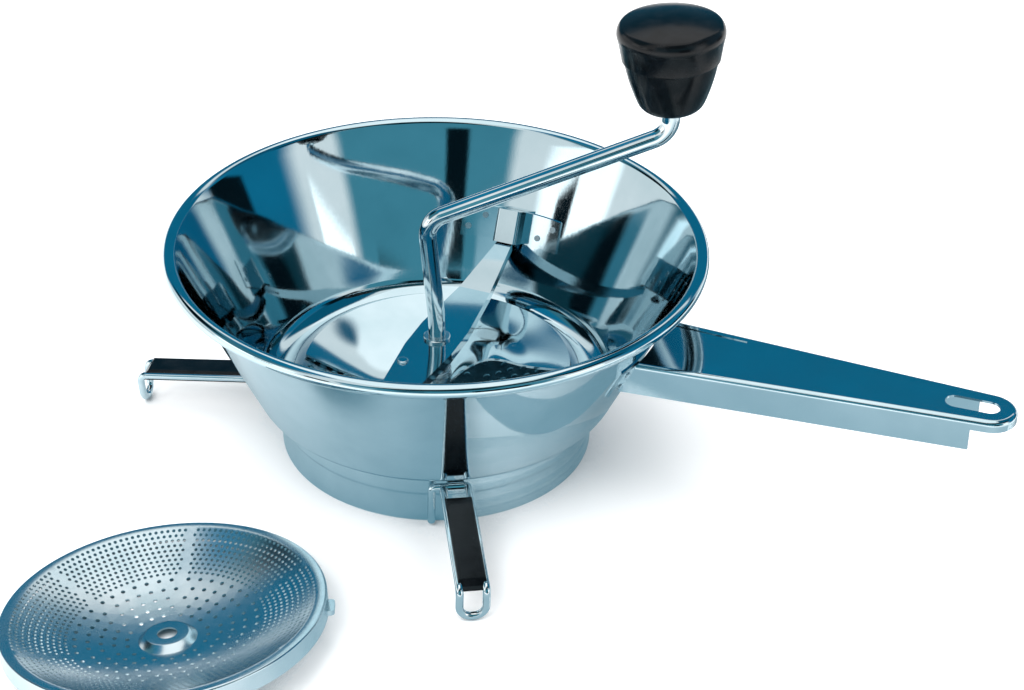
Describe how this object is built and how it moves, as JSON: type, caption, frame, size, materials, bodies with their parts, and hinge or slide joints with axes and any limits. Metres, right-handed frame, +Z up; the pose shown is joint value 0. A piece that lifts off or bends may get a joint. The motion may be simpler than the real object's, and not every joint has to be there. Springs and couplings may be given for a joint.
{
  "type": "rotary food mill",
  "caption": "Hand-cranked food mill with a steel bowl, sprung bridge, round paddle, dished strainer disc, fold-out pot hooks and a spare disc.",
  "frame": {"origin": "on the bowl's axis, at the plane of the outlet ring's foot, which is the table", "axes": "+Z up along the bowl's axis, +X along the handle, +Y to the left of the handle seen from above with the handle pointing away"},
  "size_m": [0.4016, 0.3835, 0.2103],
  "materials": {
    "polished_steel": "mirror-polished stainless sheet",
    "satin_steel": "bright pressed stainless sheet",
    "turned_steel": "turned stainless bar",
    "rod_steel": "bright drawn stainless rod and wire",
    "spring_steel": "bright spring wire",
    "black_plastic": "gloss black moulded plastic"
  },
  "bodies": {
    "bowl": {"bowl": "polished_steel", "outlet_ring": "polished_steel", "outlet_flange": "polished_steel", "handle": "polished_steel", "handle_welds": "satin_steel", "bridge_catch_far": "satin_steel", "bridge_catch_near": "satin_steel", "catch_welds": "satin_steel", "hook_clip_1": "satin_steel", "hook_clip_2": "satin_steel", "hook_clip_3": "satin_steel", "coarse_disc": "polished_steel"},
    "bridge": {"bridge": "polished_steel", "bridge_rivet": "polished_steel", "bridge_bush": "turned_steel", "bush_nut": "turned_steel", "spring_washer_top": "satin_steel"},
    "crank": {"crank_rod": "rod_steel", "paddle": "polished_steel", "paddle_hub": "turned_steel", "paddle_pin": "rod_steel", "spring": "spring_steel", "spring_washer_low": "satin_steel", "knob_clip": "satin_steel"},
    "knob": {"knob_body": "black_plastic", "knob_cap": "black_plastic", "knob_bush": "turned_steel"},
    "hook_1": {"hook_wire_1": "rod_steel", "hook_cover_1": "black_plastic"},
    "hook_2": {"hook_wire_2": "rod_steel", "hook_cover_2": "black_plastic"},
    "hook_3": {"hook_wire_3": "rod_steel", "hook_cover_3": "black_plastic"},
    "spare_disc": {"fine_disc": "polished_steel"}
  },
  "joints": [
    {"name": "crank_turn", "type": "hinge", "parent": "bowl", "child": "crank", "pos_m": [0, 0, 0], "axis": [0, 0, 1], "continuous": true},
    {"name": "knob_spin", "type": "hinge", "parent": "crank", "child": "knob", "pos_m": [0.09251, 0.03927, 0.1672], "axis": [-0.0562, -0.0239, 0.9981], "continuous": true},
    {"name": "bridge_press", "type": "slide", "parent": "bowl", "child": "bridge", "axis": [0, 0, -1], "range_m": [0, 0.004], "stiffness_N_per_m": 3100, "springref_m": -0.006, "deforming": ["spring"]},
    {"name": "hook_fold_1", "type": "hinge", "parent": "bowl", "child": "hook_1", "pos_m": [0.03721, -0.06684, 0.022], "axis": [-0.8738, -0.4863, 0], "range_deg": [0, 35]},
    {"name": "hook_fold_2", "type": "hinge", "parent": "bowl", "child": "hook_2", "pos_m": [0.03112, 0.06989, 0.022], "axis": [0.9135, -0.4067, 0], "range_deg": [0, 35]},
    {"name": "hook_fold_3", "type": "hinge", "parent": "bowl", "child": "hook_3", "pos_m": [-0.07454, -0.01721, 0.022], "axis": [-0.225, 0.9744, 0], "range_deg": [0, 35]},
    {"name": "spare_disc_lift", "type": "slide", "parent": "bowl", "child": "spare_disc", "axis": [0, 0, 1], "range_m": [0, 0.06]}
  ]
}
